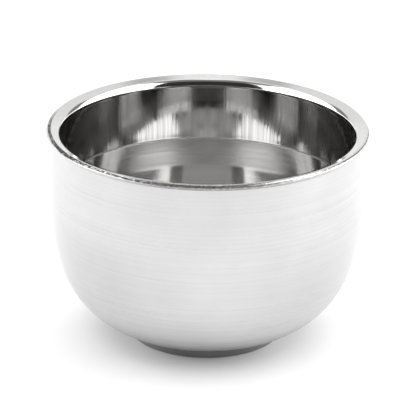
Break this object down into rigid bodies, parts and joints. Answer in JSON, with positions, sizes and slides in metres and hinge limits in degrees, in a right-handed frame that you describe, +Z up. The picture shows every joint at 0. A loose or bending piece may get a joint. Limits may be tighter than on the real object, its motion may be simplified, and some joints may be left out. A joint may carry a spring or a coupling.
{
  "type": "shaving bowl",
  "caption": "Round double-walled steel bowl without a handle, with a polished inside, a rolled lip, a satin belly and a short foot, for working up shaving lather.",
  "frame": {"origin": "centre of the foot's flat underside, on the surface that the bowl stands on", "axes": "+Z up along the bowl's axis of revolution; X and Y are interchangeable"},
  "size_m": [0.096, 0.096, 0.065],
  "materials": {
    "polished_steel": "polished",
    "satin_steel": "satin",
    "weld_metal": "matte",
    "foot_steel": "satin",
    "seam_metal": "satin"
  },
  "bodies": {
    "root": {"inner_bowl": "polished_steel", "outer_shell": "satin_steel", "rim_weld": "weld_metal", "base_cap": "foot_steel", "foot_weld": "seam_metal"}
  },
  "joints": []
}
